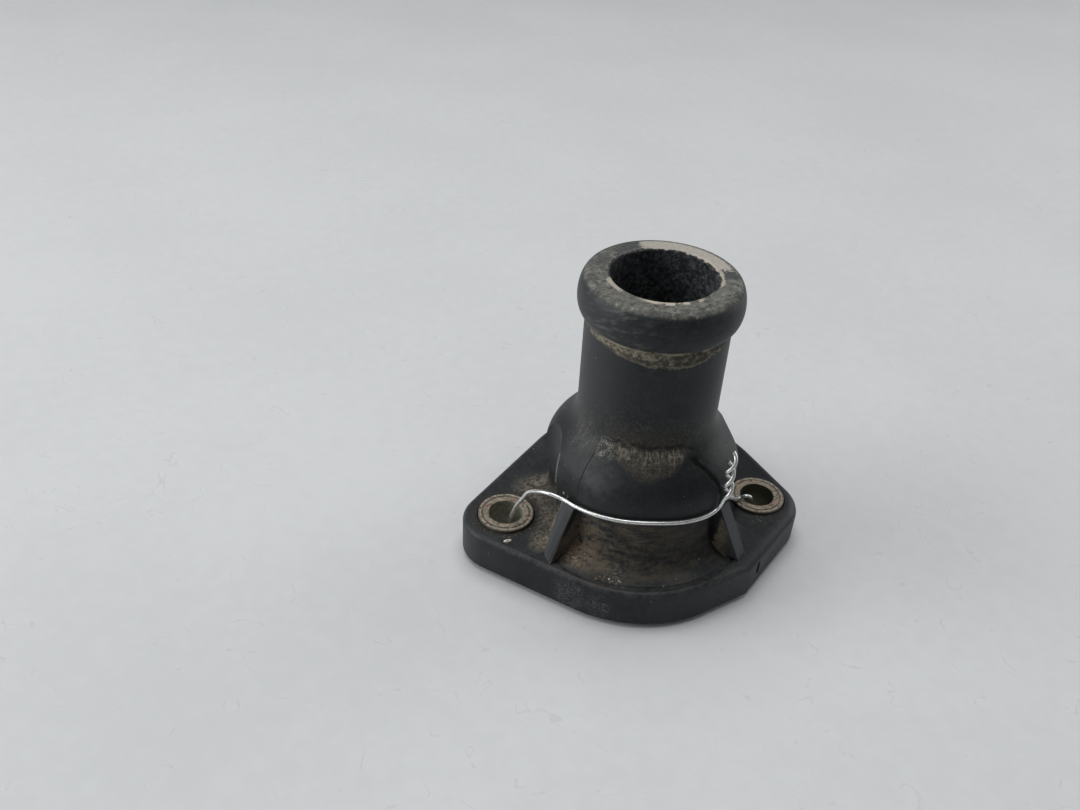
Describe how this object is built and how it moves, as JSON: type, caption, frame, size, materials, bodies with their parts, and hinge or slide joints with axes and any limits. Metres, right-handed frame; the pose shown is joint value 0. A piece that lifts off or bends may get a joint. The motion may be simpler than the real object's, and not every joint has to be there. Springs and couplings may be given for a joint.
{
  "type": "coolant flange",
  "caption": "Moulded coolant flange with a straight beaded hose neck, bolt ears with steel bushes and a tie wire threaded through them.",
  "frame": {"origin": "centre of the part's bounding box in plan, on the plane it stands on, which is the underside of the tie wire's lower run", "axes": "+X along the line of the two bolts, towards the ear beside the cut front corner; +Z along the hose neck, up from the mating face; +Y from the curved front towards the straight back edges"},
  "size_m": [0.0846, 0.0718, 0.0754],
  "materials": {
    "black_plastic": "satin moulded glass-filled plastic, dusty and scaled",
    "plated_steel": "yellow zinc plate, dull and turned",
    "galvanised_wire": "bright galvanised"
  },
  "bodies": {
    "root": {"flange_body": "black_plastic", "bush_left": "plated_steel", "bush_right": "plated_steel", "tie_wire": "galvanised_wire"}
  },
  "joints": []
}
